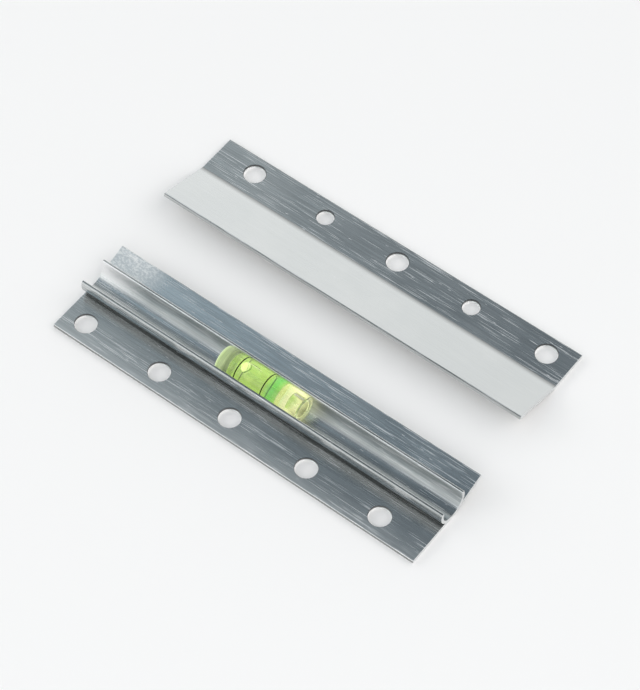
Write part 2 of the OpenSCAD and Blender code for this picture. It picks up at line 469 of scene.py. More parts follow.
def give_surface(material, inputs):
    """Gives a material its Principled surface."""
    tree = material.node_tree
    shader = add_node(tree, "ShaderNodeBsdfPrincipled", inputs)
    add_node(tree, "ShaderNodeOutputMaterial", {"Surface": shader.outputs[0]})
    return material


def handling_haze(tree, spot, rails):
    """Soft smudges and the worn patch that handling leaves, and a painted highlight in a strip along the
    front edge.
    """
    soft = use_group(tree, smudges(), {"Vector": spot, "Size": rails.smudge_size})["Mask"]
    strip = ramp(tree, axis_of(tree, spot, "Y"), CAD_LOW.y + rails.edge_haze_width, CAD_LOW.y)
    strip = math_node(tree, "MULTIPLY", strip, rails.edge_haze)
    haze = math_node(tree, "MULTIPLY_ADD", soft, rails.smudge_haze, strip)
    centre = mount_place("wall_hook") + Vector(rails.patch_place)
    inputs = {"Vector": spot, "Centre": centre, "Radius": rails.patch_size}
    return math_node(tree, "MAXIMUM", haze, use_group(tree, worn_patch(), inputs)["Mask"])


def dullness(tree, spot, slope, rails):
    """How much painted shade each spot of a rail gets, with painted highlight below nought. The faces' marks
    give most of it; the darkest faces get painted floor light low down, and the frame rail painted shade
    along its bend."""
    across = axis_of(tree, spot, "Y")
    dull = add_node(tree, "ShaderNodeAttribute", attribute_name="dull").outputs["Fac"]
    darkest = math_node(tree, "GREATER_THAN", dull, DARKEST_FROM)
    low = ramp(tree, axis_of(tree, spot, "Z"), FLOOR_LIGHT_TOP, FLOOR_LIGHT_FULL)
    lit = math_node(tree, "MULTIPLY", darkest, low)
    dull = math_node(tree, "MULTIPLY_ADD", lit, -FLOOR_LIGHT, dull)
    bend = CAD_HIGH.y - rails.frame_screw_width
    before = ramp(tree, across, bend - BEND_BEFORE, bend)
    behind = ramp(tree, across, bend + BEND_BEHIND, bend)
    bent = math_node(tree, "MULTIPLY", before, ramp(tree, slope, 0.05, 0.2))
    bent = math_node(tree, "MULTIPLY", bent, behind)
    return math_node(tree, "MULTIPLY_ADD", bent, BEND_PAINTED_SHADE, dull)


@built_once("materials")
def mill_aluminium(name):
    """Bare extruded aluminium: die lines, scratches, haze, bright saw cuts, and painted shade and highlights.
    """
    rails = bpy.context.scene.hanger_rails
    material, tree, spot = new_material(name)
    facing = add_node(tree, "ShaderNodeNewGeometry").outputs["True Normal"]
    slope = axis_of(tree, facing, "Y")
    lines = use_group(tree, extrusion_lines(), {"Vector": spot})
    nicks = use_group(tree, short_scratches(), {"Vector": spot, "Share": rails.scratch_share})
    saw = use_group(tree, cut_end(), {"Vector": spot, "Normal": facing})
    haze = handling_haze(tree, spot, rails)
    dull = dullness(tree, spot, slope, rails)

    # The frame rail's hook flange, which leans towards +Y, is smoother than all other faces.
    upright = ramp(tree, slope, 0.26, 0.12)
    worked = math_node(tree, "MULTIPLY_ADD", upright, 1 - SMOOTH_SHARE, SMOOTH_SHARE)
    nicked = math_node(tree, "MULTIPLY", nicks["Mask"], worked)
    streaks = math_node(tree, "MULTIPLY", math_node(tree, "SUBTRACT", 1.0, lines["Tone"]), worked)
    hairs = math_node(tree, "MULTIPLY", math_node(tree, "MULTIPLY", lines["Hairlines"], worked), 0.75)

    base = rgba(rails.metal)
    coats = (
        (streaks, [rails.streak * c for c in rails.metal]),
        (hairs, rails.hairline),
        (haze, rails.haze),
        (nicked, rails.scratch),
        (saw["Mask"], rails.saw_cut),
    )
    for mask, coat in coats:
        base = mix_colour(tree, mask, base, rgba(coat))
    # Painted shade: the faces' marks darken the metal, and a mark below nought lightens it as painted
    # highlight.
    keep = math_node(tree, "MULTIPLY_ADD", dull, -PAINTED_SHADE_LOSS, 1.0)
    base = add_node(tree, "ShaderNodeVectorMath", {0: base, "Scale": keep}, operation="SCALE").outputs[0]

    bright = math_node(tree, "MAXIMUM", math_node(tree, "MULTIPLY", dull, -1.0), 0.0)
    rough = rails.roughness
    for mask, added in ((haze, 0.28), (bright, 0.30), (hairs, 0.27), (nicked, 0.25), (saw["Mask"], 0.20)):
        rough = math_node(tree, "MULTIPLY_ADD", mask, added, rough)

    height = math_node(tree, "MULTIPLY", lines["Height"], worked)
    height = math_node(tree, "MULTIPLY_ADD", nicked, -0.4, height)
    saw_height = math_node(tree, "MULTIPLY", saw["Mask"], saw["Height"])
    height = math_node(tree, "MULTIPLY_ADD", saw_height, 2.0, height)
    return give_surface(
        material,
        {
            "Base Color": base,
            "Metallic": 1.0,
            "Roughness": rough,
            "Normal": bump(tree, height, rails.line_depth),
        },
    )


def banded(tree, along, stops):
    """A colour that changes along X: stops are (place in metres, colour), in order."""
    start, end = stops[0][0], stops[-1][0]
    inputs = {"Value": along, "From Min": start, "From Max": end}
    part = add_node(tree, "ShaderNodeMapRange", inputs).outputs["Result"]
    bands = add_node(tree, "ShaderNodeValToRGB", {0: part})
    elements = bands.color_ramp.elements
    while len(elements) < len(stops):
        elements.new(0.5)
    for element, (at, tint) in zip(elements, stops):
        element.position = (at - start) / (end - start)
        element.color = rgba(tint)
    return bands.outputs["Color"]


def frosted_end(tree, spot, base, glow, roughness, vial):
    """The barrel's look: a painted glow only below its middle and in the rim, and a frosted closed end."""
    under = ramp(tree, axis_of(tree, spot, "Z"), AXIS_Z + 2 * MM, AXIS_Z - 1 * MM)
    glow = mix_colour(tree, under, BLACK, glow)
    inputs = {"Vector": spot, "Start": BARREL_LOW.x, "Thickness": vial.end_wall}
    end = use_group(tree, moulded_end(), inputs)
    base = mix_colour(tree, end["Lines"], base, rgba(vial.end_lines))
    glow = mix_colour(tree, end["Rim"], glow, rgba(vial.rim_glow))
    return base, glow, math_node(tree, "MULTIPLY_ADD", end["Mask"], 0.40, roughness)


def bubble_look(tree, base, glow, vial):
    """The walls of the air bubble aren't tinted but for a painted dark arc, and its near end has a painted
    glint.
    """
    mark = add_node(tree, "ShaderNodeAttribute", attribute_name="bubble").outputs["Fac"]
    base = mix_colour(tree, math_node(tree, "GREATER_THAN", mark, MARK_PLAY), base, WHITE)
    apart = math_node(tree, "ABSOLUTE", math_node(tree, "SUBTRACT", mark, RING_ARC_MARK))
    ring_arc = math_node(tree, "LESS_THAN", apart, MARK_PLAY)
    base = mix_colour(tree, ring_arc, base, rgba(vial.bubble_shadow))
    glint = math_node(tree, "MAXIMUM", math_node(tree, "SUBTRACT", mark, BUBBLE_MARK), 0.0)
    return base, mix_colour(tree, glint, glow, rgba(vial.glint_glow))


def clear_material(name, tints, glows, refraction, roughness, is_barrel=False):
    """A see-through plastic or liquid with faint flow marks in its surface. Its tint and its glow, which is
    painted light, are given as stops along X."""
    if name in bpy.data.materials:
        return bpy.data.materials[name]
    vial = bpy.context.scene.hanger_vial
    material, tree, spot = new_material(name)
    marks = noise(tree, spot, (700, 120, 120), 2.0)
    along = axis_of(tree, spot, "X")
    tint = banded(tree, along, tints)
    darker = mix_colour(tree, 1.0, tint, grey(0.97), "MULTIPLY")
    base = mix_colour(tree, ramp(tree, marks, 0.2, 0.8), darker, tint)
    glow = banded(tree, along, glows)
    if is_barrel:
        base, glow, roughness = frosted_end(tree, spot, base, glow, roughness, vial)
    else:
        base, glow = bubble_look(tree, base, glow, vial)
    return give_surface(
        material,
        {
            "Base Color": base,
            "Metallic": 0.0,
            "Roughness": roughness,
            "IOR": refraction,
            "Transmission Weight": 1.0,
            "Emission Color": glow,
            "Emission Strength": 1.0,
            "Normal": bump(tree, marks, 0.002 * MM),
        },
    )


@built_once("materials")
def ring_ink(name):
    """Black paint in the vial's two grooves, with a slightly uneven gloss."""
    material, tree, spot = new_material(name)
    grain = noise(tree, spot, (4000, 4000, 4000), 2.0)
    return give_surface(
        material,
        {
            "Base Color": mix_colour(tree, grain, (0.001, 0.002, 0.001, 1), (0.004, 0.005, 0.003, 1)),
            "Roughness": math_node(tree, "MULTIPLY_ADD", grain, 0.2, 0.4),
            "Specular IOR Level": 0.05,
            "Normal": bump(tree, grain, 0.01 * MM, 0.5),
        },
    )


@built_once("materials")
def floor_paint(name):
    """Matt pale paper."""
    floor = bpy.context.scene.hanger_stage.floor
    inputs = {"Base Color": rgba(floor), "Roughness": 0.9, "Specular IOR Level": 0.1}
    return give_surface(new_material(name)[0], inputs)


# Sections of the rails, as (Y, Z) points from the foot of the bend


def arc(centre, radius, start, end, step=3.0):
    """Points on an arc, angles in degrees, both ends included."""
    count = max(2, math.ceil(abs(end - start) / step))
    angles = [math.radians(start + (end - start) * i / count) for i in range(count + 1)]
    return [(centre[0] + radius * math.cos(a), centre[1] + radius * math.sin(a)) for a in angles]


def strip_ends(rails, screw_width, hook_width):
    """The rounded ends of a bent strip: (points at the hook's edge, points at the screw flange's edge).
    The bend starts at the origin of the section, and its centre is straight above that."""
    rise = math.degrees(HOOK_RISE)
    outer = rails.bend_radius + SHEET
    radius = rails.edge_radius
    along = Vector((math.cos(HOOK_RISE), math.sin(HOOK_RISE)))
    across = Vector((-math.sin(HOOK_RISE), math.cos(HOOK_RISE)))
    tip = Vector((0, outer)) - outer * across + (hook_width - radius) * along
    hook = arc(tip + radius * across, radius, rise - 90, rise, 15)
    hook += arc(tip + (SHEET - radius) * across, radius, rise, rise + 90, 15)
    screw = arc((radius - screw_width, SHEET - radius), radius, 90, 180, 15)
    screw += arc((radius - screw_width, radius), radius, 180, 270, 15)
    return hook, screw


def frame_section(rails, screw_width, hook_width):
    """The frame rail's section: a strip bent once."""
    rise = math.degrees(HOOK_RISE)
    outer = rails.bend_radius + SHEET
    hook, screw = strip_ends(rails, screw_width, hook_width)
    points = arc((0, outer), outer, -90, rise - 90) + hook
    points += arc((0, outer), rails.bend_radius, rise - 90, -90)
    return points + screw


def wall_section(rails, screw_width, hook_width, centre):
    """The wall rail's section: the bent strip, with an open channel of two lips round the vial."""
    rise = math.degrees(HOOK_RISE)
    outer = rails.bend_radius + SHEET
    hook, screw = strip_ends(rails, screw_width, hook_width)
    inside = BARREL_RADIUS + rails.channel_gap
    outside = inside + rails.channel_wall
    tip_radius = rails.channel_wall / 2
    middle = inside + tip_radius
    tip = math.asin((rails.lip_rise - tip_radius) / middle)
    tip_degrees = math.degrees(tip)
    right = (centre[0] + middle * math.cos(tip), centre[1] + middle * math.sin(tip))
    left = (centre[0] - middle * math.cos(tip), right[1])
    # How far the channel's axis stands off the top of each flange gives where its outside meets it.
    over_screw = centre[1] - SHEET
    over_hook = centre[1] * math.cos(HOOK_RISE) - SHEET
    root_left = 180 + math.degrees(math.asin(over_screw / outside))
    root_right = rise - math.degrees(math.asin(over_hook / outside))
    points = arc((0, outer), outer, -90, rise - 90) + hook
    points += arc(centre, outside, root_right, tip_degrees)
    points += arc(right, tip_radius, tip_degrees, tip_degrees + 180, 10)[1:-1]
    points += arc(centre, inside, tip_degrees, -180 - tip_degrees)
    points += arc(left, tip_radius, -tip_degrees, 180 - tip_degrees, 10)[1:-1]
    points += arc(centre, outside, 180 - tip_degrees, root_left)
    return points + screw


def hook_width_for(reach, rails):
    """The width of a hook flange that reaches this far past the start of the bend."""
    outer = rails.bend_radius + SHEET
    radius = rails.edge_radius
    return (reach - radius - (outer - radius) * math.sin(HOOK_RISE)) / math.cos(HOOK_RISE) + radius


# Shapes


def link_object(name, data):
    """A new object in the scene, for a mesh, curve, lamp or camera."""
    made = bpy.data.objects.new(name, data)
    bpy.context.scene.collection.objects.link(made)
    return made


def section_curve(name, points):
    """A closed flat curve through the points of a section.
    A sweep along X puts a curve's X on -Y and its Y on -Z, and wants the points clockwise."""
    turned = [(-across, -up) for across, up in points]
    pairs = zip(turned, turned[1:] + turned[:1])
    if sum(a[0] * b[1] - b[0] * a[1] for a, b in pairs) > 0:
        turned.reverse()
    curve = bpy.data.curves.new(name, "CURVE")
    curve.dimensions = "2D"
    curve.fill_mode = "NONE"
    spline = curve.splines.new("POLY")
    spline.points.add(len(turned) - 1)
    for point, (x, y) in zip(spline.points, turned):
        point.co = (x, y, 0.0, 1.0)
    spline.use_cyclic_u = True
    return link_object(name, curve)


# Each row's number of holes. The holes of the second row lie between those of the first.
HOLE_ROWS = {"Main": 3, "Between": 2}
HOLE_SIDES = 72
DRILL_LENGTH = 4 * SHEET


@built_once("node_groups")
def hole_row(name):
    """Geometry nodes: a row of drills, evenly spaced along X."""
    takes = [
        ("First", VECTOR),
        ("Pitch", VALUE, 0.06),
        ("Count", "NodeSocketInt", 2),
        ("Diameter", VALUE, 0.008),
        ("Depth", VALUE, 0.004),
    ]
    group, given, out = new_group(name, GEOMETRY_TREE, takes, [("Drills", "NodeSocketGeometry")])
    step = add_node(group, "ShaderNodeCombineXYZ", {0: given["Pitch"]}).outputs[0]
    inputs = {"Count": given["Count"], "Start Location": given["First"], "Offset": step}
    row = add_node(group, "GeometryNodeMeshLine", inputs).outputs[0]
    radius = math_node(group, "MULTIPLY", given["Diameter"], 0.5)
    inputs = {"Vertices": HOLE_SIDES, "Radius": radius, "Depth": given["Depth"]}
    drill = add_node(group, "GeometryNodeMeshCylinder", inputs).outputs[0]
    placed = add_node(group, "GeometryNodeInstanceOnPoints", {"Points": row, "Instance": drill})
    real = add_node(group, "GeometryNodeRealizeInstances", {0: placed.outputs[0]})
    group.links.new(real.outputs[0], out["Drills"])
    return group


@built_once("node_groups")
def drilled_rail(name):
    """Geometry nodes: a section swept along X, with two rows of screw holes."""
    takes = [
        ("Section", "NodeSocketObject"),
        ("Start", VECTOR),
        ("Length", VALUE, 0.15),
        ("Depth", VALUE, 0.004),
        ("Material", "NodeSocketMaterial"),
    ]
    for row in HOLE_ROWS:
        takes += [
            (f"{row} first", VECTOR),
            (f"{row} pitch", VALUE, 0.06),
            (f"{row} count", "NodeSocketInt", 2),
            (f"{row} diameter", VALUE, 0.008),
        ]
    group, given, out = new_group(name, GEOMETRY_TREE, takes, [("Rail", "NodeSocketGeometry")])
    reach = add_node(group, "ShaderNodeCombineXYZ", {0: given["Length"]}).outputs[0]
    path = add_node(group, "GeometryNodeCurvePrimitiveLine", {"End": reach}).outputs[0]
    section = add_node(group, "GeometryNodeObjectInfo", {"Object": given["Section"]}).outputs["Geometry"]
    inputs = {"Curve": path, "Profile Curve": section, "Fill Caps": True}
    sweep = add_node(group, "GeometryNodeCurveToMesh", inputs).outputs[0]
    inputs = {"Geometry": sweep, "Translation": given["Start"]}
    moved = add_node(group, "GeometryNodeTransform", inputs).outputs[0]
    drills = add_node(group, "GeometryNodeJoinGeometry")
    for row in HOLE_ROWS:
        inputs = {label: given[f"{row} {label.lower()}"] for label in ("First", "Pitch", "Count", "Diameter")}
        inputs["Depth"] = given["Depth"]
        placed = add_node(group, "GeometryNodeGroup", inputs, node_tree=hole_row())
        group.links.new(placed.outputs[0], drills.inputs[0])
    drilled = add_node(group, "GeometryNodeMeshBoolean", operation="DIFFERENCE", solver="EXACT")
    set_inputs(group, drilled, {"Mesh 1": moved, "Mesh 2": drills.outputs[0]})
    real = add_node(group, "GeometryNodeRealizeInstances", {0: drilled.outputs["Mesh"]}).outputs[0]
    inputs = {"Geometry": real, "Material": given["Material"]}
    group.links.new(add_node(group, "GeometryNodeSetMaterial", inputs).outputs[0], out["Rail"])
    return group


def run_tree(name, group, values):
    """Runs a geometry tree with the given inputs and returns a plain mesh object of its result."""
    holder = link_object(name + "_tree", bpy.data.meshes.new(name + "_tree"))
    modifier = holder.modifiers.new(name, "NODES")
    modifier.node_group = group
    sockets = {
        item.name: item.identifier
        for item in group.interface.items_tree
        if item.item_type == "SOCKET" and item.in_out == "INPUT"
    }
    for label, value in values.items():
        modifier[sockets[label]] = value
    holder.data.update()
    graph = bpy.context.evaluated_depsgraph_get()
    mesh = bpy.data.meshes.new_from_object(holder.evaluated_get(graph))
    mesh.name = name
    bpy.data.objects.remove(holder)
    return link_object(name, mesh)


def bake_modifiers(piece):
    """Takes a piece's modifiers into its mesh."""
    graph = bpy.context.evaluated_depsgraph_get()
    mesh = bpy.data.meshes.new_from_object(piece.evaluated_get(graph))
    mesh.name = piece.name
    piece.modifiers.clear()
    piece.data = mesh


def shade(piece, sharp_from):
    """Smooth shading with sharp edges past an angle, in degrees."""
    piece.data.polygons.foreach_set("use_smooth", [True] * len(piece.data.polygons))
    piece.data.set_sharp_from_angle(angle=math.radians(sharp_from))


def break_edges(piece, width):
    """Bevels the cut edges a little, and keeps the flats flat in the shading."""
    bevel = piece.modifiers.new("broken_edges", "BEVEL")
    bevel.width = width
    bevel.segments = 2
    bevel.limit_method = "ANGLE"
    bevel.angle_limit = math.radians(50)
    bevel.use_clamp_overlap = True
    bake_modifiers(piece)
    shade(piece, 32)
    even = piece.modifiers.new("flat_faces", "WEIGHTED_NORMAL")
    even.keep_sharp = True
    even.weight = 100
    bake_modifiers(piece)


def turned_vertex(shape, x, radius, turn):
    """A vertex at this place along the vial's axis, this far from it, and turned from straight up."""
    return shape.verts.new((x, AXIS_Y + radius * math.sin(turn), AXIS_Z + radius * math.cos(turn)))


def skin(shape, rings, segments):
    """Faces between neighbouring rings of vertices. A ring of one vertex is a pole."""
    made = []
    for first, second in zip(rings, rings[1:]):
        if len(first) == 1 and len(second) == 1:
            continue
        for i in range(segments):
            j = (i + 1) % segments
            loop = [first[i % len(first)], first[j % len(first)]]
            loop += [second[j % len(second)], second[i % len(second)]]
            made.append(shape.faces.new(list(dict.fromkeys(loop))))
    bmesh.ops.recalc_face_normals(shape, faces=made)
    return made


def lathe(name, profile, segments):
    """A piece turned on the vial's axis from (distance along X from the vial's left end, radius)
    points, closed where the radius is nought."""
    mesh = bpy.data.meshes.new(name)
    shape = bmesh.new()
    rings = []
    for along, radius in profile:
        count = segments if radius > 0 else 1
        turns = [math.tau * i / segments for i in range(count)]
        rings.append([turned_vertex(shape, BARREL_LOW.x + along, radius, turn) for turn in turns])
    skin(shape, rings, segments)
    shape.to_mesh(mesh)
    shape.free()
    return link_object(name, mesh)


def corner(along, radius, size, start, end, steps=5):
    """Points of a rounded corner in a turned profile, angles in degrees from the axis."""
    points = []
    for i in range(steps + 1):
        a = math.radians(start + (end - start) * i / steps)
        points.append((along + size * math.cos(a), radius + size * math.sin(a)))
    return points


def open_rim(end, outer, inner, size):
    """The rounded rim of an open end, from its outside over to its inside."""
    points = corner(end - size, outer - size, size, 90, 0)
    return points + corner(end - size / 2, inner + size / 2, size / 2, 0, -90)


def closed_end(outer, vial, ridges=4, steps=60):
    """The barrel's closed end: a shallow gate mark and turned ridges out to a rounded rim."""
    points = []
    reach = outer - vial.corner
    for i in range(steps + 1):
        part = i / steps
        wave = 0.5 - 0.5 * math.cos(math.tau * ridges * part)
        points.append((vial.ridge_depth * (0.35 + 0.65 * wave) * (1 - part**6), reach * part))
    points += corner(vial.corner, outer - vial.corner, vial.corner, 180, 90)[1:]
    return points


# The power that gives the bubble's underside its curve: half makes it an ellipse, one a parabola.
BUBBLE_BELLY = 0.62


def bubble_faces(shape, vial, steps=20, segments=64):
    """Adds the air bubble to a liquid's mesh: a lens that lies against the top of the chamber."""
    bubble = shape.faces.layers.float.new("bubble")
    wall = BARREL_RADIUS - vial.wall - vial.bubble_film
    half_length = vial.bubble_length / 2
    half_angle = vial.bubble_width / 2 / wall
    middle = BARREL_LOW.x + vial.bubble_start + half_length
    sides = []
    for below in (False, True):
        rings = []
        for k in range(steps + 1):
            if k == steps and below:
                rings.append(sides[0][-1])
                continue
            reach = math.sin(math.pi / 2 * k / steps)
            dip = vial.bubble_depth * (1 - reach**2) ** BUBBLE_BELLY if below else 0.0
            ring = []
            for i in range(segments if k else 1):
                a = math.tau * i / segments
                x = middle + half_length * reach * math.cos(a)
                ring.append(turned_vertex(shape, x, wall - dip, half_angle * reach * math.sin(a)))
            rings.append(ring)
        sides.append(rings)
    made = skin(shape, sides[0], segments) + skin(shape, sides[1], segments)
    bmesh.ops.recalc_face_normals(shape, faces=made)
    bmesh.ops.reverse_faces(shape, faces=made)
    # The near end has a painted glint, and a painted dark arc across the top stands for the ring's far half
    # showing through.
    for face in made:
        spot = face.calc_center_median()
        off = (spot.x - middle) / half_length
        bow = (spot.y - AXIS_Y) / (vial.bubble_width / 2)
        glint = max(0.0, min(1.0, -4 * off - 0.9))
        face[bubble] = BUBBLE_MARK + (1 - BUBBLE_MARK) * glint
        on_top = math.hypot(spot.y - AXIS_Y, spot.z - AXIS_Z) > wall - 0.1 * MM
        if on_top and -0.20 < off + 0.5 * bow**2 < -0.08:
            face[bubble] = RING_ARC_MARK


# How much painted shade the marked faces of the rails get. Nought is plain metal, and below it a face
# gets painted highlight and is rougher.
HOLE_WALL = 1.35
EDGE_CORNER = 1.1
WALL_FRONT_CORNER = -0.7
WALL_EDGE = 0.85
FRAME_EDGE = 0.15
LIP_TOP = 0.7
FAR_LIP_TIP = -0.9
NEAR_LIP_TIP = -0.45
CHANNEL_INSIDE = 0.25
CHANNEL_FAR_GAIN = 0.95
NEAR_LIP_FOOT = 1.2
NEAR_LIP_SIDE = 0.35


def channel_mark(face, rails):
    """How much painted shade a face of the channel gets: painted highlight along the lips' tips and on the
    far wall, painted shade at the foot of the near lip, where no light gets in."""
    across, up = face.center.y - AXIS_Y, face.center.z - AXIS_Z
    inside = BARREL_RADIUS + rails.channel_gap
    apart = math.hypot(across, up)
    if apart > inside + 1.2 * rails.channel_wall:
        return 0.0
    if up > rails.lip_rise - rails.channel_wall / 2:
        if face.normal.z > 0.85:
            return LIP_TOP
        return FAR_LIP_TIP if across > 0 else NEAR_LIP_TIP
    if apart < inside + 0.1 * rails.channel_wall:
        return CHANNEL_INSIDE - CHANNEL_FAR_GAIN * max(0.0, min(1.0, (across / inside - 0.35) / 0.4))
    if across < 0 and face.normal.z < -0.1:
        return NEAR_LIP_FOOT if up < -0.74 * inside else NEAR_LIP_SIDE
    return 0.0


def edge_mark(face, is_wall_rail):
    """How much painted shade a face of a long edge gets, which is its flat or one of its two corners."""
    if abs(face.normal.z) < 0.4:
        return WALL_EDGE if is_wall_rail else FRAME_EDGE
    return WALL_FRONT_CORNER if is_wall_rail and face.normal.y < 0 else EDGE_CORNER


def mark_dull(rail, centres, reach, is_wall_rail):
    """Marks how much painted shade each face gets, with painted highlight below nought. Holes reach this far
    from their centres.
    """
    rails = bpy.context.scene.hanger_rails
    margin = 1.3 * rails.edge_radius
    across = [vertex.co.y for vertex in rail.data.vertices]
    low, high = min(across) + margin, max(across) - margin
    marks = rail.data.attributes.new("dull", "FLOAT", "FACE")
    for face, mark in zip(rail.data.polygons, marks.data):
        apart = min(math.hypot(face.center.x - x, face.center.y - y) for x, y in centres)
        if abs(face.normal.x) > 0.5 and apart > reach:
            continue
        if apart < reach and abs(face.normal.z) < 0.95:
            mark.value = HOLE_WALL
        elif not low < face.center.y < high and face.normal.z < 0.95:
            mark.value = edge_mark(face, is_wall_rail)
        elif is_wall_rail:
            mark.value = channel_mark(face, rails)


def dress(piece, material, node):
    """Gives a piece its material and slot, and puts it on the body in place of a CAD node."""
    piece.data.materials.clear()
    piece.data.materials.append(material)
    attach(piece, BODY)
    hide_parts(node)


def build_rail(name, node, section, bend, mirrored, mounts):
    """Sweeps a rail's section along the CAD rail's length, drills its holes and breaks its edges.
    Each row of holes has its mount, which gives the row's two outer holes."""
    rails = bpy.context.scene.hanger_rails
    low, size = box_size(node)
    side = -1 if mirrored else 1
    profile = section_curve(name + "_section", [(side * y, z) for y, z in section])
    values = {
        "Section": profile,
        "Start": (low.x, bend, 0.0),
        "Length": size.x,
        "Depth": DRILL_LENGTH,
        "Material": mill_aluminium(),
    }
    centres = []
    reach = 0.0
    for (row, count), mount in zip(HOLE_ROWS.items(), mounts):
        middle = mount_place(mount)
        spread = mount_size(mount, "spacing_x_mm")
        radius = mount_size(mount, "hole_r_mm")
        pitch = spread / (count - 1)
        first = middle.x - spread / 2
        values[f"{row} first"] = (first, middle.y, SHEET / 2)
        values[f"{row} pitch"] = pitch
        values[f"{row} count"] = count
        values[f"{row} diameter"] = 2 * radius
        centres += [(first + i * pitch, middle.y) for i in range(count)]
        reach = max(reach, radius + rails.break_width)
    rail = run_tree(name, drilled_rail(), values)
    bpy.data.objects.remove(profile)
    break_edges(rail, rails.break_width)
    mark_dull(rail, centres, reach, node == "wall_rail")
    dress(rail, mill_aluminium(), node)


# Operators

ACRYLIC_IOR = 1.49
LIQUID_IOR = 1.40
TURNED_SHARP_FROM = 40


class HANGER_OT_wall_rail(Operator):
    """Builds the wall rail with its vial channel and five screw holes"""

    bl_idname = "hanger.wall_rail"
    bl_label = "Wall rail"

    def execute(self, context):
        rails = context.scene.hanger_rails
        low, size = box_size("wall_rail")
        bend = low.y + rails.wall_screw_width
        hook = hook_width_for(low.y + size.y - bend, rails)
        section = wall_section(rails, rails.wall_screw_width, hook, (AXIS_Y - bend, AXIS_Z))
        build_rail("wall_cleat", "wall_rail", section, bend, False, ("wall_screws", "wall_screws_mid"))
        return {"FINISHED"}


class HANGER_OT_frame_rail(Operator):
    """Builds the frame rail with its three large and two small screw holes"""

    bl_idname = "hanger.frame_rail"
    bl_label = "Frame rail"

    def execute(self, context):
        rails = context.scene.hanger_rails
        low, size = box_size("frame_rail")
        bend = low.y + size.y - rails.frame_screw_width
        hook = hook_width_for(bend - low.y, rails)
        section = frame_section(rails, rails.frame_screw_width, hook)
        build_rail("frame_cleat", "frame_rail", section, bend, True, ("frame_screws", "frame_screws_mid"))
        return {"FINISHED"}


class HANGER_OT_vial_body(Operator):
    """Builds the clear barrel with its ridged closed end, chamber and stopper seat"""

    bl_idname = "hanger.vial_body"
    bl_label = "Vial barrel"

    def execute(self, context):
        vial = context.scene.hanger_vial
        outer = BARREL_RADIUS - vial.overlap / 2
        total = BARREL_SIZE.x
        chamber = BARREL_RADIUS - vial.wall
        seat = chamber + vial.seat_step
        round_end = 2 * vial.corner
        profile = closed_end(outer, vial)
        profile += [(total - vial.corner, outer)]
        profile += open_rim(total, outer, seat, vial.corner)
        profile += [(STOPPER_START, seat), (STOPPER_START, chamber)]
        profile += corner(vial.end_wall + round_end, chamber - round_end, round_end, 90, 180)
        profile += [(vial.end_wall, 0.0)]
        piece = lathe("vial_body", profile, vial.segments)
        shade(piece, TURNED_SHARP_FROM)
        end = BARREL_LOW.x + vial.end_wall
        stopper = BARREL_LOW.x + STOPPER_START
        right = BARREL_LOW.x + total
        faded = [0.15 * c for c in vial.stopper_glow]
        tints = [(end - 0.3 * MM, vial.end_tint), (end + 0.5 * MM, vial.barrel)]
        glows = [
            (BARREL_LOW.x, vial.end_glow),
            (end - 0.5 * MM, vial.end_glow),
            (end + 1.5 * MM, vial.under_glow),
            (stopper - 1 * MM, vial.under_glow),
            (stopper + 1 * MM, vial.stopper_glow),
            (right - 5 * MM, vial.stopper_glow),
            (right - 1 * MM, faded),
        ]
        material = clear_material("clear_acrylic", tints, glows, ACRYLIC_IOR, 0.02, is_barrel=True)
        dress(piece, material, "vial_barrel")
        return {"FINISHED"}


class HANGER_OT_vial_stopper(Operator):
    """Builds the pale stopper with its recess"""

    bl_idname = "hanger.vial_stopper"
    bl_label = "Vial stopper"

    def execute(self, context):
        vial = context.scene.hanger_vial
        low, size = box_size("vial_plug")
        start = STOPPER_START - 2 * vial.overlap
        end = STOPPER_START + size.x
        radius = BARREL_RADIUS - vial.wall + vial.seat_step + vial.overlap
        recess = radius - vial.stopper_wall
        face = STOPPER_START + vial.stopper_face
        profile = [(start, 0.0), (start, radius)]
        profile += open_rim(end, radius, recess, vial.corner)
        profile += corner(face + vial.corner, recess - vial.corner, vial.corner, 90, 180)
        profile += [(face, 0.0)]
        piece = lathe("vial_stopper", profile, vial.segments)
        shade(piece, TURNED_SHARP_FROM)
        tints = [(low.x, vial.stopper), (low.x + size.x, vial.stopper)]
        glows = [(low.x + size.x / 2, vial.plug_glow), (low.x + size.x, (0, 0, 0))]
        material = clear_material("pale_stopper", tints, glows, ACRYLIC_IOR, 0.12)
        dress(piece, material, "vial_plug")
        return {"FINISHED"}


class HANGER_OT_vial_liquid(Operator):
    """Builds the level liquid, with the air bubble as a hollow in it"""

    bl_idname = "hanger.vial_liquid"
    bl_label = "Vial liquid"

    def execute(self, context):
        vial = context.scene.hanger_vial
        radius = BARREL_RADIUS - vial.wall + vial.overlap
        start = vial.end_wall - vial.overlap
        round_end = 2 * vial.corner
        profile = [(start, 0.0)]
        profile += corner(start + round_end, radius - round_end, round_end, 180, 90)
        profile += [(STOPPER_START, radius), (STOPPER_START, 0.0)]
        piece = lathe("vial_liquid", profile, vial.segments)
        shape = bmesh.new()
        shape.from_mesh(piece.data)
        bubble_faces(shape, vial)
        shape.to_mesh(piece.data)
        shape.free()
        shade(piece, TURNED_SHARP_FROM)
        right = BARREL_LOW.x + STOPPER_START
        # The greener band just before the stopper is painted shade.
        tints = [
            (right - 6 * MM, vial.liquid),
            (right - 3.8 * MM, vial.deep_liquid),
            (right - 2.4 * MM, vial.deep_liquid),
            (right - 0.8 * MM, vial.liquid),
        ]
        glows = [(BARREL_LOW.x + start, vial.body_glow), (right, vial.body_glow)]
        material = clear_material("level_liquid", tints, glows, LIQUID_IOR, 0.0)
        dress(piece, material, "vial_fluid")
        return {"FINISHED"}


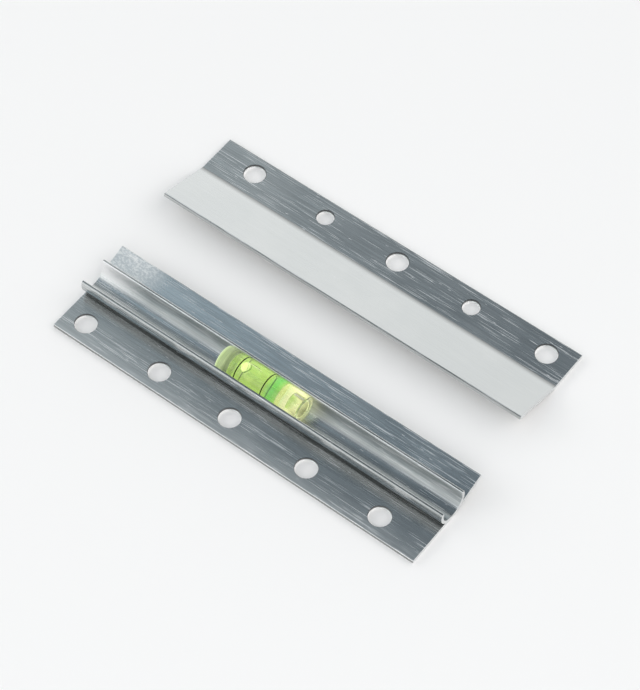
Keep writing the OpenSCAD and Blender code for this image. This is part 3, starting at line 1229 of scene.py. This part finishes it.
class HANGER_OT_vial_rings(Operator):
    """Paints the two black rings"""

    bl_idname = "hanger.vial_rings"
    bl_label = "Vial rings"

    def execute(self, context):
        for node in ("ring_left", "ring_right"):
            ring = frame["nodes"][node]
            ring.data.materials.clear()
            ring.data.materials.append(ring_ink())
        return {"FINISHED"}


# Name, direction from the hanger, distance, width, height and brightness of each soft light.
LAMPS = (
    ("front_softbox", (0.50, -0.52, 0.69), 3.2, 4.2, 3.4, 1.0),
    ("back_softbox", (0.66, 0.50, 0.56), 3.2, 2.0, 1.6, 1.0),
    ("left_panel", (-0.87, -0.35, 0.35), 3.0, 2.1, 1.2, 2.4),
)
FRONT_SOFTBOX = Vector(LAMPS[0][1]).normalized()
WINDOW = Vector((-0.52, -0.15, 0.84)).normalized()

# How bright the studio is at the right of the front and back walls, low in front and at the front
# softbox, against the rest of that wall.
FRONT_RIGHT = 0.50
BACK_RIGHT = 0.87
LOW_FRONT = 0.3
AT_SOFTBOX = 0.36


def point_at(holder, target, back, distance):
    """Puts a lamp or camera this far back from a target, and turns it to face the target."""
    holder.location = target + back * distance
    holder.rotation_euler = back.to_track_quat("Z", "Y").to_euler()


def make_floor(stage):
    """The round floor."""
    shape = bmesh.new()
    bmesh.ops.create_circle(shape, cap_ends=True, segments=96, radius=stage.floor_radius)
    mesh = bpy.data.meshes.new("floor")
    shape.to_mesh(mesh)
    shape.free()
    mesh.materials.append(floor_paint())
    link_object("floor", mesh)


def make_lamps():
    """The soft lights, each a rectangle that faces the hanger."""
    for name, direction, distance, width, height, strength in LAMPS:
        lamp = bpy.data.lights.new(name, "AREA")
        lamp.shape = "RECTANGLE"
        lamp.size = width
        lamp.size_y = height
        lamp.energy = strength * math.pi * width * height
        point_at(link_object(name, lamp), Vector(), Vector(direction).normalized(), distance)


def make_world(scene, stage):
    """The studio's walls, which the rails mirror: pale all round, dimmer low in front and at the
    front softbox, and dim overhead. A skylight and a window brighten the left of the ceiling."""
    world = bpy.data.worlds.new("studio")
    world.use_nodes = True
    tree = world.node_tree
    tree.nodes.clear()
    direction = add_node(tree, "ShaderNodeTexCoord").outputs["Generated"]
    parts = add_node(tree, "ShaderNodeSeparateXYZ", {0: direction}).outputs

    left = ramp(tree, parts["X"], -0.22, -0.50)
    front = mix_colour(tree, left, grey(FRONT_RIGHT * stage.front_wall), grey(stage.front_wall))
    above_floor = ramp(tree, parts["Z"], 0.15, 0.42)
    front = mix_colour(tree, above_floor, grey(LOW_FRONT * stage.front_wall), front)
    back = mix_colour(tree, left, grey(BACK_RIGHT * stage.back_wall), grey(stage.back_wall))
    walls = mix_colour(tree, ramp(tree, parts["Y"], -0.3, 0.5), front, back)

    skylit = ramp(tree, parts["X"], -0.31, -0.50)
    overhead = mix_colour(tree, skylit, rgba(stage.ceiling), rgba(stage.skylight))
    window = ramp(tree, vector_node(tree, "DOT_PRODUCT", direction, WINDOW), 0.977, 0.992)
    overhead = mix_colour(tree, window, overhead, rgba(stage.window))
    wall_top, ceiling_start = math.sin(math.radians(22)), math.sin(math.radians(60))
    tone = mix_colour(tree, ramp(tree, parts["Z"], wall_top, ceiling_start), walls, overhead)

    at_softbox = ramp(tree, vector_node(tree, "DOT_PRODUCT", direction, FRONT_SOFTBOX), 0.78, 0.88)
    right = mix_colour(tree, at_softbox, grey(stage.right_wall), grey(AT_SOFTBOX * stage.right_wall))
    tone = mix_colour(tree, ramp(tree, parts["X"], 0.02, 0.30), tone, right)

    background = add_node(tree, "ShaderNodeBackground", {"Color": tone, "Strength": 1.0})
    add_node(tree, "ShaderNodeOutputWorld", {"Surface": background.outputs[0]})
    scene.world = world


def make_camera(scene, stage):
    """The photograph's camera."""
    camera = bpy.data.cameras.new("camera")
    camera.lens = stage.lens
    camera.sensor_width = 36
    camera.clip_start = 0.01
    camera.clip_end = 100
    level = math.cos(stage.elevation)
    aside = math.sin(stage.azimuth) * level
    ahead = -math.cos(stage.azimuth) * level
    scene.camera = link_object("camera", camera)
    back = Vector((aside, ahead, math.sin(stage.elevation)))
    point_at(scene.camera, Vector(stage.target), back, stage.distance)


class HANGER_OT_stage(Operator):
    """Makes the floor, the soft lights, the studio's walls and the camera"""

    bl_idname = "hanger.stage"
    bl_label = "Stage"

    def execute(self, context):
        scene = context.scene
        make_floor(scene.hanger_stage)
        make_lamps()
        make_world(scene, scene.hanger_stage)
        make_camera(scene, scene.hanger_stage)
        scene.view_settings.view_transform = "Standard"
        return {"FINISHED"}


class HANGER_PT_build(Panel):
    """Lists the hanger's pieces and settings"""

    bl_idname = "HANGER_PT_build"
    bl_label = "Cleat hanger"
    bl_space_type = "VIEW_3D"
    bl_region_type = "UI"
    bl_category = "Hanger"

    def draw(self, context):
        for step in STEPS:
            self.layout.operator(f"hanger.{step}")
        for group in GROUPS:
            settings = getattr(context.scene, group)
            column = self.layout.box().column()
            for name in settings.__annotations__:
                column.prop(settings, name)


STEPS = ("wall_rail", "frame_rail", "vial_body", "vial_stopper", "vial_liquid", "vial_rings", "stage")
GROUPS = {"hanger_rails": RailSettings, "hanger_vial": VialSettings, "hanger_stage": StageSettings}
CLASSES = (
    *GROUPS.values(),
    HANGER_OT_wall_rail,
    HANGER_OT_frame_rail,
    HANGER_OT_vial_body,
    HANGER_OT_vial_stopper,
    HANGER_OT_vial_liquid,
    HANGER_OT_vial_rings,
    HANGER_OT_stage,
    HANGER_PT_build,
)


def register():
    """Registers the classes and gives the scene its settings."""
    for cls in CLASSES:
        bpy.utils.register_class(cls)
    for name, cls in GROUPS.items():
        setattr(bpy.types.Scene, name, PointerProperty(type=cls))


def unregister():
    """Takes the settings off the scene and unregisters the classes."""
    for name in GROUPS:
        delattr(bpy.types.Scene, name)
    for cls in reversed(CLASSES):
        bpy.utils.unregister_class(cls)


def main():
    """Builds every piece and the stage."""
    register()
    for step in STEPS:
        getattr(bpy.ops.hanger, step)()


if __name__ == "__main__":
    main()
